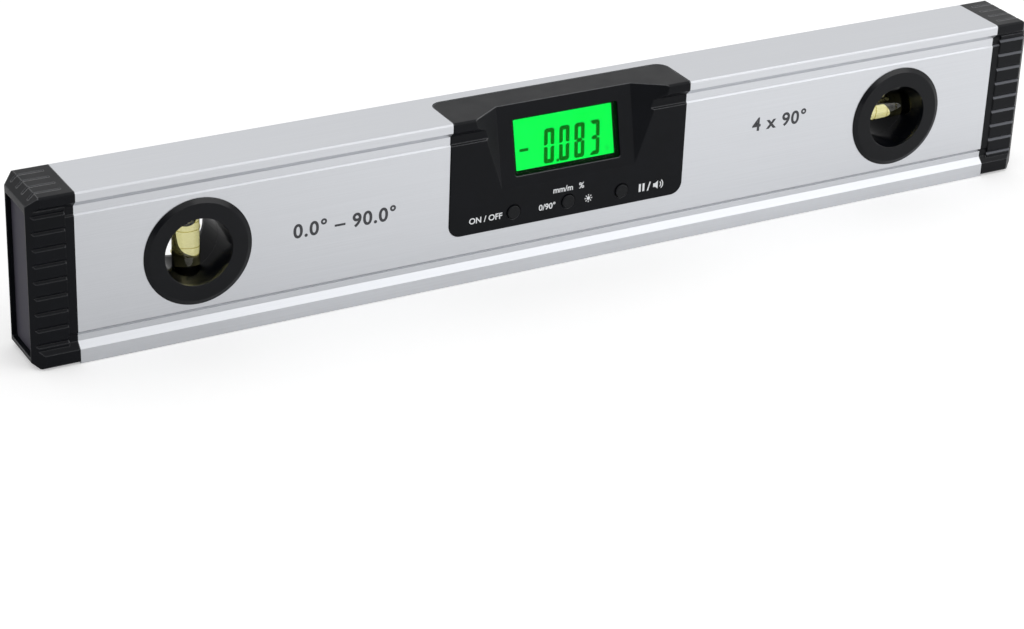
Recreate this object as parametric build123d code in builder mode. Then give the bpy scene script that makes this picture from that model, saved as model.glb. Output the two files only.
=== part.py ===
"""Digital spirit level: hollow aluminium extrusion, end caps, display module, battery box and two vials.

Millimetres, at real size. X runs along the level, Y through its thickness with the display at -Y, Z up.
The origin is the middle of the base. Printed text is left off.
"""

import os
from math import cos, radians, sin, sqrt

from build123d import *

os.makedirs("parts", exist_ok=True)

# Overall size
length = 400.0
height = 62.0
thickness = 25.0

# Section of the extrusion
top_rim_h = 3.5  # full-thickness rim along the top
base_rim_h = 5.3  # the same along the base
groove_depth = 2.2  # 45 degree slope from each rim to its groove floor
groove_h = 2.9
web_step = 0.5  # the web stands proud of the groove floors
shadow_line_h = 0.6  # fine groove under the web
shadow_line_depth = 0.6
side_wall = 1.8  # behind the groove floors and the slopes
rim_wall = 2.2
top_wall = 2.4
base_wall = 3.4
top_edge_r = 1.0
base_edge_r = 0.6

# Clearances
fit_gap = 0.2  # a moulding in its cut-out
seat_gap = 0.1  # a vial in its seat
slide_gap = 0.15  # the battery door in its rails
bubble_gap = 0.3
liquid_gap = 0.03  # the liquid in its vial
past = 1.0  # a cutter runs this far past the face that it opens
near = 0.1  # edges are picked within this distance of their face

# End caps
cap_len = 16.0
cap_lift = 0.5  # keeps the caps off what the base stands on
cap_chamfer_x = 3.8
cap_chamfer_z = 3.5
cap_chamfer_y = 3.0
cap_base_chamfer_x = 2.4
cap_base_chamfer_z = 1.9
cap_plug_len = 11.0
cap_plug_wall = 1.6
pad_start = 3.2  # grip pads, from the joint with the extrusion
pad_over = 4.0  # pads beyond the web, above and below
pad_proud = 0.4
pad_grooves = 9
pad_groove_pitch = 5.8
pad_groove_w = 1.7
pad_groove_depth = 0.8
top_grooves = 4
top_groove_pitch = 5.2
top_groove_w = 1.0
top_groove_depth = 0.4
slope_groove_len = 2.8  # the same grooves, down the slope at the end
end_lip = 0.5  # thin lip left at each side of the pocket in the end
end_lip_high = 2.3
end_lip_low = 1.2
end_pocket_depth = 2.5
end_pocket_r = 1.2
end_pad_t = 0.7

# Display module
module_w = 94.8
module_z0 = 18.1  # lower edge of its front plate
module_rear_y = 6.9  # rear edge of its top plate
module_corner_r = 4.5
module_proud = 0.3  # front plate beyond the web
module_drop = 0.1  # top plate below the top face
shell = 2.0
skirt_y = 4.6  # depth of the lower skirt behind the front plate
skirt_h = 5.9
skirt_wall = 1.2
post_r = 3.0
post_x = 41.5
post_low = 6.9  # above the front plate's lower edge
post_high = 3.9  # below the web's upper edge
screw_r = 1.45
screw_hole_r = 1.5
screw_head_r = 2.7
screw_len = 11.0
screw_play = 0.5  # free depth beyond a screw's tip
head_gap = 0.1  # a countersunk head in its sink
head_slot_w = 0.6
head_slot_len = 2.8
head_slot_depth = 0.9
panel_tilt = 12.7
panel_z0 = 33.2  # where the display panel leaves the front plate
panel_w = 54.0
panel_splay = 1.583  # the side walls open by this much per millimetre out of the panel
panel_wall = 1.8
opening_side = 5.7  # panel left at each side of the display opening
opening_r = 0.8
window_rim = 1.6
window_t = 0.9
segment_gap = 0.1  # between the window and the glass
lcd_low = 1.2  # lower edge of the glass, up the panel
lcd_top_gap = 4.2  # panel above the glass
lcd_edge_low = 2.3  # glass hidden behind the panel
lcd_edge_high = 1.3
lcd_edge_side = 2.7
lcd_t = 2.2
strip_w = 2.3
guide_inset = 1.5
guide_t = 2.2
led_w = 2.0
led_h = 3.0
led_t = 1.6
led_pitch = 8.0
board_t = 1.6
board_low = 0.2
board_over = 1.3  # board above the glass
board_screw_out = 4.5  # from the panel's edge
board_screw_edge = 3.8
boss_r = 2.5
boss_sink = 0.3
part_rise = 3.0  # parts on the back of the board, above the display's middle
part_gap = 4.0  # between the parts on the back of the board
chip_w = 10.0
chip_t = 1.4
sensor_w = 8.0
sensor_h = 6.0
sensor_t = 2.6
buzzer_r = 4.5
buzzer_t = 3.4
buzzer_hole_r = 0.8
buzzer_hole_depth = 1.0
small_screw_r = 0.95
small_screw_hole_r = 1.0
small_head_r = 1.9
small_head_h = 1.2
small_screw_len = 4.2
small_screw_play = 0.3
ribbon_half = 11.0
ribbon_t = 0.4
ribbon_lap = 2.6

# Keys
key_x = 22.0
key_z = 23.6
key_r = 2.5
key_hole_r = 2.75
key_proud = 0.6  # beyond the front plate
key_flange_r = 3.5
key_flange_t = 0.8
key_stem_r = 1.4
key_stem_in = 0.1  # stem in the switch's well at rest
key_edge_r = 0.4
key_travel = 0.5
key_stop_gap = 0.1
key_board_top = 2.6  # below the foot of the display panel
key_screw_out = 9.0  # from the outer keys
key_screw_edge = 3.0
switch_w = 6.0
switch_h = 5.6
switch_edge_r = 0.5
switch_t = 2.5
switch_well_r = 1.8
switch_well = 1.2

# Battery box, in the rear of the extrusion
cell_d = 10.5
cell_len = 44.5
cell_nub_r = 1.9
cell_nub_h = 0.8
cell_edge_r = 0.5
cell_gap = 0.25
cell_rear_gap = 1.05
cell_pitch = 10.7
box_wall = 1.2
box_low = 13.6
box_chamfer = 3.0
contact_t = 0.4
contact_w = 8.0
leaf_reach = 3.9
leaf_w = 5.0
leaf_flat = 2.4
tail_w = 3.0
flange_side = 3.0  # beyond the tray at each end
flange_margin = 2.2  # window part beyond the cells' tray, above and below
lip_reach = 2.2  # inner lip behind the rear web
lip_t = 1.2
rail_proud = 1.4
rail_lip_t = 0.6
rail_web = 1.3
door_over = 0.2  # beyond the tray at each end
door_t = 1.15
tongue_t = 0.5
tongue_reach = 0.7
grip_count = 4
grip_pitch = 2.2
grip_w = 1.1
grip_h = 12.0
grip_depth = 0.4
grip_edge = 8.0

# Vials
vial_from_end = 58.7
bezel_r = 19.35
bezel_t = 1.0
bezel_slope_w = 1.7  # sloped rim of a bezel, across its face
bezel_slope_t = 0.8  # and down its edge
barrel_r = 16.8
bore_r = 12.2  # of the bore through both bezels, at the front
rear_bore_r = 11.1
window_gap = 0.2
vial_r = 4.8
vial_len = 31.0
vial_edge_r = 0.6
vial_room_r = 3.8
vial_room_end_r = 3.6
vial_end_wall = 2.4
ring_t = 0.25
ring_w = 0.2
ring_gap = 0.03
ring_at = 4.6
level_bubble_r = 1.5
level_bubble_len = 8.0
level_bubble_up = 1.95
level_travel = 2.5
level_swell = 0.5  # channel for the bubble, beyond the bubble all round
plumb_bubble_r = 2.6
plumb_bubble_len = 7.5
plumb_travel = 6.0
bubble_end = 0.85  # rounding of a bubble's ends, as a share of its radius

# Magnets, flush with the base
magnet_len = 40.0
magnet_w = 8.0
magnet_t = 2.2
magnet_x = 95.0

# Values that follow from the ones above
half_thick = thickness / 2
floor_y = half_thick - groove_depth
web_y = floor_y + web_step
bezel_y = web_y + bezel_t
room_web_y = floor_y - side_wall
room_rim_y = half_thick - rim_wall
base_floor_z = base_rim_h + groove_depth
web_z0 = base_floor_z + groove_h + web_step
top_floor_z = height - top_rim_h - groove_depth
web_z1 = top_floor_z - groove_h - web_step
web_mid = (web_z0 + web_z1) / 2
rail_half = length / 2 - cap_len
plate_y = web_y + module_proud
module_half = module_w / 2
module_top = height - module_drop
vial_x = length / 2 - vial_from_end
vial_z = web_mid
room_len = vial_len - 2 * vial_end_wall
pad_h = web_z1 - web_z0 + 2 * pad_over
end_pocket_w = 2 * (half_thick - cap_chamfer_y - end_lip)
end_pocket_low = cap_lift + cap_base_chamfer_z + end_lip_low
end_pocket_high = height - cap_chamfer_z - end_lip_high
end_pocket_h = end_pocket_high - end_pocket_low
end_pocket_mid = (end_pocket_low + end_pocket_high) / 2
end_slope = Plane(
    origin=(length / 2 - cap_chamfer_x, 0, height),
    x_dir=(0, 1, 0),
    z_dir=(cap_chamfer_z, 0, cap_chamfer_x),
)
tilt = radians(panel_tilt)
panel = Plane(origin=(0, -plate_y, panel_z0), x_dir=(1, 0, 0), z_dir=(0, -cos(tilt), sin(tilt)))
panel_end = Plane(origin=panel.origin, x_dir=(1, 0, 0), z_dir=(0, sin(tilt), cos(tilt)))
key_board_y = plate_y - shell - key_flange_t - key_travel - key_stop_gap - switch_t
key_board_low = module_z0 + skirt_wall + fit_gap
key_board_high = panel_z0 - key_board_top
key_screw_x = key_x + key_screw_out
key_board_w = 2 * (key_screw_x + key_screw_edge)
panel_len = (module_top - panel_z0) / cos(tilt)
lcd_high = panel_len - lcd_top_gap
opening_low = lcd_low + lcd_edge_low
opening_high = lcd_high - lcd_edge_high
opening_mid = (opening_low + opening_high) / 2
opening_w = panel_w - 2 * opening_side
opening_h = opening_high - opening_low
lcd_w = opening_w + 2 * lcd_edge_side
guide_w = lcd_w - 2 * guide_inset
board_high = lcd_high + board_over
board_screw_x = panel_w / 2 + board_screw_out
board_screw_low = board_low + board_screw_edge
board_screw_high = board_high - board_screw_edge
board_w = 2 * (board_screw_x + board_screw_edge)
sensor_x = chip_w / 2 + part_gap + sensor_w / 2
buzzer_x = chip_w / 2 + part_gap + buzzer_r
lcd_back = panel_wall + lcd_t
board_face = lcd_back + guide_t
board_back = board_face + board_t
post_z0 = module_z0 + post_low
post_z1 = web_z1 - post_high
post_mid_z = (post_z0 + post_z1) / 2
rear_web = Plane(origin=(0, web_y, post_mid_z), x_dir=(-1, 0, 0), z_dir=(0, 1, 0))
box_front_y = web_y - cell_rear_gap - cell_d - cell_gap - box_wall
box_half = (cell_len + leaf_reach) / 2 + contact_t + box_wall
box_high = box_low + 2 * box_wall + 2 * cell_gap + cell_pitch + cell_d
cell_y = box_front_y + box_wall + cell_gap + cell_d / 2
cell_low_z = box_low + box_wall + cell_gap + cell_d / 2
cell_high_z = cell_low_z + cell_pitch
flange_low = box_low - flange_margin
flange_high = box_high + flange_margin
flange_half = box_half + flange_side
door_half = box_half + door_over
contact_x = box_half - box_wall - contact_t
tail_high_z = cell_high_z - contact_w / 2 + tail_w / 2
door_y = web_y + slide_gap


def both_sides(half):
    """Whole outline from its right half, given from the base to the top."""
    return half + [(-y, z) for y, z in reversed(half)]


def outer_half(base):
    """Right half of the extrusion's outline as (y, z), with its base at the given height."""
    return [
        (half_thick, base),
        (half_thick, base_rim_h),
        (floor_y, base_floor_z),
        (floor_y, base_floor_z + groove_h),
        (web_y, web_z0),
        (web_y, web_z1),
        (floor_y, top_floor_z - groove_h),
        (floor_y, top_floor_z),
        (half_thick, height - top_rim_h),
        (half_thick, height),
    ]


def room_half(gap):
    """Right half of the hollow inside the extrusion, drawn in by the gap."""
    slope = side_wall * sqrt(2)
    rim = room_rim_y - gap
    web = room_web_y - gap
    low = base_rim_h + half_thick - slope
    high = height - top_rim_h - half_thick + slope
    return [
        (rim, base_wall + gap),
        (rim, low - room_rim_y),
        (web, low - room_web_y),
        (web, high + room_web_y),
        (rim, high + room_rim_y),
        (rim, height - top_wall - gap),
    ]


def barrel(centre, direction, gap):
    """Slightly barrel-shaped room inside a vial, drawn in by the gap."""
    end = room_len / 2 - gap
    with BuildPart() as room:
        with BuildSketch(Plane(origin=centre, x_dir=direction, z_dir=(0, -1, 0))):
            with BuildLine():
                Polyline((-end, vial_room_end_r - gap), (-end, 0), (end, 0), (end, vial_room_end_r - gap))
                ThreePointArc(
                    (end, vial_room_end_r - gap),
                    (0, vial_room_r - gap),
                    (-end, vial_room_end_r - gap),
                )
            make_face()
        revolve(axis=Axis(centre, direction))
    return room.part


def save(part, name):
    """Label a finished part and write it."""
    part.label = name
    export_step(part, f"parts/{name}.step")


# Extrusion with its cut-outs
with BuildPart() as profile:
    with BuildSketch(Plane.YZ) as profile_section:
        with BuildLine():
            Polyline(*both_sides(outer_half(0)), close=True)
        make_face()
        fillet(profile_section.vertices().group_by(Axis.Y)[-1], radius=top_edge_r)
        fillet(profile_section.vertices().group_by(Axis.Y)[0], radius=base_edge_r)
        with BuildLine():
            Polyline(*both_sides(room_half(0)), close=True)
        make_face(mode=Mode.SUBTRACT)
    extrude(amount=rail_half, both=True)
    # fine grooves under the webs
    with BuildSketch(Plane.YZ):
        with Locations((-floor_y, web_z0 - web_step), (floor_y, web_z0 - web_step)):
            Rectangle(2 * shadow_line_depth, shadow_line_h, align=(Align.CENTER, Align.MAX))
    extrude(amount=rail_half, both=True, mode=Mode.SUBTRACT)
    # front and top openings for the display module
    with BuildSketch(Plane.XZ.offset(room_web_y - 2 * past)) as front_notch:
        with Locations((0, module_z0 - fit_gap)):
            Rectangle(module_w + 2 * fit_gap, height, align=(Align.CENTER, Align.MIN))
        fillet(front_notch.vertices().group_by(Axis.Y)[0], radius=module_corner_r + fit_gap)
    extrude(amount=half_thick, mode=Mode.SUBTRACT)
    with BuildSketch(Plane.XY.offset(height - top_wall - past)) as top_notch:
        with Locations((0, module_rear_y + fit_gap)):
            Rectangle(module_w + 2 * fit_gap, thickness, align=(Align.CENTER, Align.MAX))
        fillet(top_notch.vertices().group_by(Axis.Y)[-1], radius=module_corner_r + fit_gap)
    extrude(amount=height, mode=Mode.SUBTRACT)
    # rear opening for the battery box
    with BuildSketch(Plane.XZ.offset(-web_y - past)):
        with Locations((0, (flange_low + flange_high) / 2)):
            Rectangle(2 * (flange_half + fit_gap), flange_high - flange_low + 2 * fit_gap)
    extrude(amount=web_y - room_web_y + 2 * past, mode=Mode.SUBTRACT)
    # windows for the vials
    with BuildSketch(Plane.XZ):
        with Locations((-vial_x, vial_z), (vial_x, vial_z)):
            Circle(barrel_r + window_gap)
    extrude(amount=thickness, both=True, mode=Mode.SUBTRACT)
    # countersunk holes for the screws that hold the display module
    with Locations(rear_web):
        with GridLocations(2 * post_x, post_z1 - post_z0, 2, 2):
            CounterSinkHole(screw_hole_r, screw_head_r + head_gap, depth=web_y, counter_sink_angle=90)
    # pockets for the magnets
    with Locations((-magnet_x, 0, 0), (magnet_x, 0, 0)):
        Box(
            magnet_len + 2 * fit_gap,
            magnet_w + 2 * fit_gap,
            magnet_t,
            align=(Align.CENTER, Align.CENTER, Align.MIN),
            mode=Mode.SUBTRACT,
        )

# End cap: visible block, hollow plug inside the extrusion, ribbed grip pads and a pocket in its end
with BuildPart() as cap:
    with BuildSketch(Plane.YZ.offset(rail_half)) as cap_section:
        with BuildLine():
            Polyline(*both_sides(outer_half(cap_lift)), close=True)
        make_face()
        fillet(cap_section.vertices().group_by(Axis.Y)[-1], radius=top_edge_r)
        fillet(cap_section.vertices().group_by(Axis.Y)[0], radius=top_edge_r)
    extrude(amount=cap_len)
    with BuildSketch(Plane.XZ):
        with Locations((rail_half + pad_start, web_mid)):
            Rectangle(cap_len - pad_start, pad_h, align=(Align.MIN, Align.CENTER))
    extrude(amount=web_y + pad_proud, both=True)
    # V grooves across the pads and along the top
    with BuildSketch(Plane.YZ.offset(rail_half + pad_start)):
        for index in range(pad_grooves):
            z = web_mid + (index - (pad_grooves - 1) / 2) * pad_groove_pitch
            for side in (-1, 1):
                with BuildLine():
                    Polyline(
                        (side * (web_y + pad_proud - pad_groove_depth), z),
                        (side * (web_y + pad_proud), z + pad_groove_w / 2),
                        (side * (web_y + pad_proud + past), z + pad_groove_w / 2),
                        (side * (web_y + pad_proud + past), z - pad_groove_w / 2),
                        (side * (web_y + pad_proud), z - pad_groove_w / 2),
                        close=True,
                    )
                make_face()
        for index in range(top_grooves):
            y = (index - (top_grooves - 1) / 2) * top_groove_pitch
            with Locations((y, height)):
                Rectangle(top_groove_w, 2 * top_groove_depth)
    extrude(amount=cap_len, mode=Mode.SUBTRACT)
    # chamfers round the end
    with BuildSketch(Plane.XZ):
        with BuildLine():
            Polyline(
                (length / 2, height - cap_chamfer_z),
                (length / 2 - cap_chamfer_x, height),
                (length / 2, height + past),
                (length / 2 + past, height - cap_chamfer_z),
                close=True,
            )
        make_face()
        with BuildLine():
            Polyline(
                (length / 2, cap_lift + cap_base_chamfer_z),
                (length / 2 - cap_base_chamfer_x, cap_lift),
                (length / 2, cap_lift - past),
                (length / 2 + past, cap_lift + cap_base_chamfer_z),
                close=True,
            )
        make_face()
    extrude(amount=thickness, both=True, mode=Mode.SUBTRACT)
    with BuildSketch(Plane.XY):
        for side in (-1, 1):
            with BuildLine():
                Polyline(
                    (length / 2, side * (half_thick - cap_chamfer_y)),
                    (length / 2 - cap_chamfer_x, side * half_thick),
                    (length / 2, side * (half_thick + past)),
                    (length / 2 + past, side * (half_thick - cap_chamfer_y)),
                    close=True,
                )
            make_face()
    extrude(amount=2 * height, both=True, mode=Mode.SUBTRACT)
    with BuildSketch(end_slope):
        with GridLocations(top_groove_pitch, 0, top_grooves, 1):
            Rectangle(top_groove_w, slope_groove_len, align=(Align.CENTER, Align.MAX))
    extrude(amount=-top_groove_depth, mode=Mode.SUBTRACT)
    with BuildSketch(Plane.YZ.offset(length / 2 - end_pocket_depth)):
        with Locations((0, end_pocket_mid)):
            RectangleRounded(end_pocket_w, end_pocket_h, end_pocket_r)
    extrude(amount=end_pocket_depth + past, mode=Mode.SUBTRACT)
    # plug
    with BuildSketch(Plane.YZ.offset(rail_half)):
        with BuildLine():
            Polyline(*both_sides(room_half(fit_gap)), close=True)
        make_face()
    extrude(amount=-cap_plug_len)
    with BuildSketch(Plane.YZ.offset(rail_half)):
        with Locations((0, (base_wall + height - top_wall) / 2)):
            Rectangle(
                2 * (room_web_y - fit_gap - cap_plug_wall),
                height - top_wall - base_wall - 2 * (fit_gap + cap_plug_wall),
            )
    extrude(amount=-cap_plug_len, mode=Mode.SUBTRACT)

with BuildPart() as cap_mirrored:
    add(cap.part)
    mirror(about=Plane.YZ, mode=Mode.REPLACE)

# Soft pads on the floors of the end pockets
with BuildPart() as end_pad:
    with BuildSketch(Plane.YZ.offset(length / 2 - end_pocket_depth)):
        with Locations((0, end_pocket_mid)):
            RectangleRounded(end_pocket_w - 2 * fit_gap, end_pocket_h - 2 * fit_gap, end_pocket_r)
    extrude(amount=end_pad_t)

with BuildPart() as end_pad_mirrored:
    add(end_pad.part)
    mirror(about=Plane.YZ, mode=Mode.REPLACE)

# Hollow of the display module's housing, less the panel and its splayed side walls
with BuildPart() as module_room:
    with BuildSketch(Plane.YZ):
        with BuildLine():
            Polyline(
                (-plate_y + shell, module_z0 + skirt_wall),
                (-plate_y + shell, web_z1 - groove_h),
                (-floor_y + shell, web_z1),
                (-floor_y + shell, module_top - shell),
                (module_rear_y - shell, module_top - shell),
                (module_rear_y + thickness, module_top - thickness - shell),
                (module_rear_y + thickness, module_z0 + skirt_wall),
                close=True,
            )
        make_face()
    extrude(amount=module_half - shell, both=True)
    with BuildSketch(panel_end.offset(-shell)):
        reach = thickness
        start = panel_w / 2 + shell * sqrt(1 + panel_splay**2)
        with BuildLine():
            Polyline(
                (-start + panel_splay * panel_wall, panel_wall),
                (start - panel_splay * panel_wall, panel_wall),
                (start + panel_splay * reach, -reach),
                (-start - panel_splay * reach, -reach),
                close=True,
            )
        make_face()
    extrude(amount=height, mode=Mode.SUBTRACT)

# Housing of the display module: front plate, top plate, sloping display panel, posts and bosses
with BuildPart() as housing:
    with BuildSketch(Plane.YZ) as housing_section:
        with BuildLine():
            Polyline(
                (module_rear_y, module_top),
                (-half_thick, module_top),
                (-half_thick, height - top_rim_h),
                (-floor_y, top_floor_z),
                (-floor_y, top_floor_z - groove_h),
                (-plate_y, web_z1),
                (-plate_y, module_z0),
                (-plate_y + skirt_y, module_z0),
                (-plate_y + skirt_y, module_z0 + skirt_h),
                (module_rear_y, web_z1 - groove_h),
                close=True,
            )
        make_face()
        fillet(housing_section.vertices().group_by(Axis.X)[0].sort_by(Axis.Y)[-1], radius=top_edge_r)
    extrude(amount=module_half, both=True)
    fillet(
        housing.edges().filter_by(Axis.Y).filter_by_position(Axis.Z, module_z0 - near, module_z0 + near),
        radius=module_corner_r,
    )
    fillet(
        housing.edges()
        .filter_by(Axis.Z)
        .filter_by_position(Axis.Y, module_rear_y - near, module_rear_y + near),
        radius=module_corner_r,
    )
    add(module_room.part, mode=Mode.SUBTRACT)
    # screw posts to the rear web
    with BuildSketch(Plane.XZ.offset(plate_y - shell / 2)):
        with Locations((0, post_mid_z)):
            with GridLocations(2 * post_x, post_z1 - post_z0, 2, 2):
                Circle(post_r)
    extrude(amount=-(room_web_y + plate_y - shell / 2))
    # bosses for the two boards
    with BuildSketch(Plane.XZ.offset(key_board_y)):
        with Locations((-key_screw_x, key_z), (key_screw_x, key_z)):
            Circle(boss_r)
    extrude(amount=plate_y - shell / 2 - key_board_y)
    with BuildSketch(panel.offset(-board_face)):
        with Locations((0, (board_screw_low + board_screw_high) / 2)):
            with GridLocations(2 * board_screw_x, board_screw_high - board_screw_low, 2, 2):
                Circle(boss_r)
    extrude(amount=board_face - boss_sink)
    # recess in front of the panel
    with BuildSketch(panel_end):
        with BuildLine():
            Polyline(
                (-panel_w / 2, 0),
                (panel_w / 2, 0),
                (panel_w / 2 + panel_splay * reach, -reach),
                (-panel_w / 2 - panel_splay * reach, -reach),
                close=True,
            )
        make_face()
    extrude(amount=height, mode=Mode.SUBTRACT)
    # display opening, with a rebate for the window behind it
    with BuildSketch(panel):
        with Locations((0, opening_mid)):
            RectangleRounded(opening_w, opening_h, opening_r)
    extrude(amount=-panel_wall, mode=Mode.SUBTRACT)
    with BuildSketch(panel.offset(-panel_wall)):
        with Locations((0, opening_mid)):
            Rectangle(
                opening_w + 2 * (window_rim + seat_gap),
                opening_h + 2 * (window_rim + seat_gap),
            )
    extrude(amount=window_t + segment_gap, mode=Mode.SUBTRACT)
    # key holes and screw holes
    with BuildSketch(Plane.XZ):
        with Locations((-key_x, key_z), (0, key_z), (key_x, key_z)):
            Circle(key_hole_r)
    extrude(amount=thickness, mode=Mode.SUBTRACT)
    with BuildSketch(Plane.XZ.offset(-room_web_y)):
        with Locations((0, post_mid_z)):
            with GridLocations(2 * post_x, post_z1 - post_z0, 2, 2):
                Circle(screw_hole_r)
    extrude(amount=screw_len, mode=Mode.SUBTRACT)
    with BuildSketch(Plane.XZ.offset(key_board_y)):
        with Locations((-key_screw_x, key_z), (key_screw_x, key_z)):
            Circle(small_screw_hole_r)
    extrude(amount=small_screw_len - board_t + small_screw_play, mode=Mode.SUBTRACT)
    with BuildSketch(panel.offset(-board_face)):
        with Locations((0, (board_screw_low + board_screw_high) / 2)):
            with GridLocations(2 * board_screw_x, board_screw_high - board_screw_low, 2, 2):
                Circle(small_screw_hole_r)
    extrude(amount=small_screw_len - board_t + small_screw_play, mode=Mode.SUBTRACT)

# Display stack behind the panel
with BuildPart() as window:
    with BuildSketch(panel.offset(-panel_wall + segment_gap)):
        with Locations((0, opening_mid)):
            Rectangle(opening_w + 2 * window_rim, opening_h + 2 * window_rim)
    extrude(amount=window_t)

with BuildPart() as lcd:
    with BuildSketch(panel.offset(-lcd_back)):
        with Locations((0, lcd_low)):
            Rectangle(lcd_w, lcd_high - lcd_low, align=(Align.CENTER, Align.MIN))
    extrude(amount=lcd_t)

with BuildPart() as strip:
    with BuildSketch(panel.offset(-board_face)):
        with Locations((0, lcd_low)):
            Rectangle(guide_w, strip_w, align=(Align.CENTER, Align.MIN))
    extrude(amount=guide_t)

with BuildPart() as guide:
    with BuildSketch(panel.offset(-board_face)):
        with Locations((0, lcd_high)):
            Rectangle(guide_w, lcd_high - lcd_low - strip_w - fit_gap, align=(Align.CENTER, Align.MAX))
    extrude(amount=guide_t)

with BuildPart() as leds:
    with BuildSketch(panel.offset(-board_face)):
        with Locations((0, opening_mid)):
            with GridLocations(guide_w + led_w + 2 * fit_gap, led_pitch, 2, 2):
                Rectangle(led_w, led_h)
    extrude(amount=led_t)

with BuildPart() as board:
    with BuildSketch(panel.offset(-board_back)):
        with Locations((0, board_low)):
            Rectangle(board_w, board_high - board_low, align=(Align.CENTER, Align.MIN))
        with Locations((0, (board_screw_low + board_screw_high) / 2)):
            with GridLocations(2 * board_screw_x, board_screw_high - board_screw_low, 2, 2):
                Circle(small_screw_hole_r, mode=Mode.SUBTRACT)
    extrude(amount=board_t)

with BuildPart() as chip:
    with BuildSketch(panel.offset(-board_back)):
        with Locations((0, opening_mid + part_rise)):
            Rectangle(chip_w, chip_w)
    extrude(amount=-chip_t)

with BuildPart() as sensor:
    with BuildSketch(panel.offset(-board_back)):
        with Locations((-sensor_x, opening_mid + part_rise)):
            Rectangle(sensor_w, sensor_h)
    extrude(amount=-sensor_t)

with BuildPart() as buzzer:
    with BuildSketch(panel.offset(-board_back)):
        with Locations((buzzer_x, opening_mid + part_rise)):
            Circle(buzzer_r)
    extrude(amount=-buzzer_t)
    with BuildSketch(panel.offset(-board_back - buzzer_t)):
        with Locations((buzzer_x, opening_mid + part_rise)):
            Circle(buzzer_hole_r)
    extrude(amount=buzzer_hole_depth, mode=Mode.SUBTRACT)

# Key board, its switches and the ribbon between the two boards
with BuildPart() as key_board:
    with BuildSketch(Plane.XZ.offset(key_board_y)):
        with Locations((0, key_board_low)):
            Rectangle(key_board_w, key_board_high - key_board_low, align=(Align.CENTER, Align.MIN))
        with Locations((-key_screw_x, key_z), (key_screw_x, key_z)):
            Circle(small_screw_hole_r, mode=Mode.SUBTRACT)
    extrude(amount=-board_t)

with BuildPart() as switches:
    with BuildSketch(Plane.XZ.offset(key_board_y)):
        with Locations((-key_x, key_z), (0, key_z), (key_x, key_z)):
            RectangleRounded(switch_w, switch_h, switch_edge_r)
    extrude(amount=switch_t)
    with BuildSketch(Plane.XZ.offset(key_board_y + switch_t)):
        with Locations((-key_x, key_z), (0, key_z), (key_x, key_z)):
            Circle(switch_well_r)
    extrude(amount=-switch_well, mode=Mode.SUBTRACT)

with BuildPart() as ribbon:
    key_back = -key_board_y + board_t
    foot = panel.from_local_coords((0, board_low, -board_back))
    head = panel.from_local_coords((0, board_low + ribbon_lap, -board_back))
    foot_out = panel.from_local_coords((0, board_low, -board_back - ribbon_t))
    head_out = panel.from_local_coords((0, board_low + ribbon_lap, -board_back - ribbon_t))
    with BuildSketch(Plane.YZ):
        with BuildLine():
            Polyline(
                (key_back, key_board_high - ribbon_lap),
                (key_back, key_board_high),
                (foot.Y, foot.Z),
                (head.Y, head.Z),
                (head_out.Y, head_out.Z),
                (foot_out.Y, foot_out.Z),
                (key_back + ribbon_t, key_board_high),
                (key_back + ribbon_t, key_board_high - ribbon_lap),
                close=True,
            )
        make_face()
    extrude(amount=ribbon_half, both=True)

# Keys: cap through the plate, flange behind it, stem in the switch's well
with BuildPart() as key:
    with BuildSketch(Plane.XZ.offset(plate_y - shell)):
        with Locations((0, key_z)):
            Circle(key_r)
    extrude(amount=shell + key_proud)
    fillet(key.faces().sort_by(Axis.Y)[0].edges(), radius=key_edge_r)
    with BuildSketch(Plane.XZ.offset(plate_y - shell)):
        with Locations((0, key_z)):
            Circle(key_flange_r)
    extrude(amount=-key_flange_t)
    with BuildSketch(Plane.XZ.offset(plate_y - shell - key_flange_t)):
        with Locations((0, key_z)):
            Circle(key_stem_r)
    extrude(amount=-(key_travel + key_stop_gap + key_stem_in))

with BuildPart() as key_left:
    with Locations((-key_x, 0, 0)):
        add(key.part)

with BuildPart() as key_right:
    with Locations((key_x, 0, 0)):
        add(key.part)

# Screws, each kind as one group
with BuildPart() as small_screws:
    with BuildSketch(panel.offset(-board_back)):
        with Locations((0, (board_screw_low + board_screw_high) / 2)):
            with GridLocations(2 * board_screw_x, board_screw_high - board_screw_low, 2, 2):
                Circle(small_screw_r)
    extrude(amount=small_screw_len)
    with BuildSketch(panel.offset(-board_back)):
        with Locations((0, (board_screw_low + board_screw_high) / 2)):
            with GridLocations(2 * board_screw_x, board_screw_high - board_screw_low, 2, 2):
                Circle(small_head_r)
    extrude(amount=-small_head_h)
    with BuildSketch(Plane.XZ.offset(key_board_y - board_t)):
        with Locations((-key_screw_x, key_z), (key_screw_x, key_z)):
            Circle(small_screw_r)
    extrude(amount=small_screw_len)
    with BuildSketch(Plane.XZ.offset(key_board_y - board_t)):
        with Locations((-key_screw_x, key_z), (key_screw_x, key_z)):
            Circle(small_head_r)
    extrude(amount=-small_head_h)

with BuildPart() as long_screw:
    with BuildSketch(Plane.YZ):
        with BuildLine():
            Polyline(
                (web_y - head_gap, 0),
                (web_y - head_gap, screw_head_r - head_gap),
                (web_y - screw_head_r + screw_r, screw_r),
                (room_web_y - screw_len + screw_play, screw_r),
                (room_web_y - screw_len + screw_play, 0),
                close=True,
            )
        make_face()
    revolve(axis=Axis.Y)
    with BuildSketch(Plane.XZ.offset(-web_y)):
        Rectangle(head_slot_len, head_slot_w)
        Rectangle(head_slot_w, head_slot_len)
    extrude(amount=head_gap + head_slot_depth, mode=Mode.SUBTRACT)

with BuildPart() as long_screws:
    with Locations(*[(x, 0, z) for x in (-post_x, post_x) for z in (post_z0, post_z1)]):
        add(long_screw.part)

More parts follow.
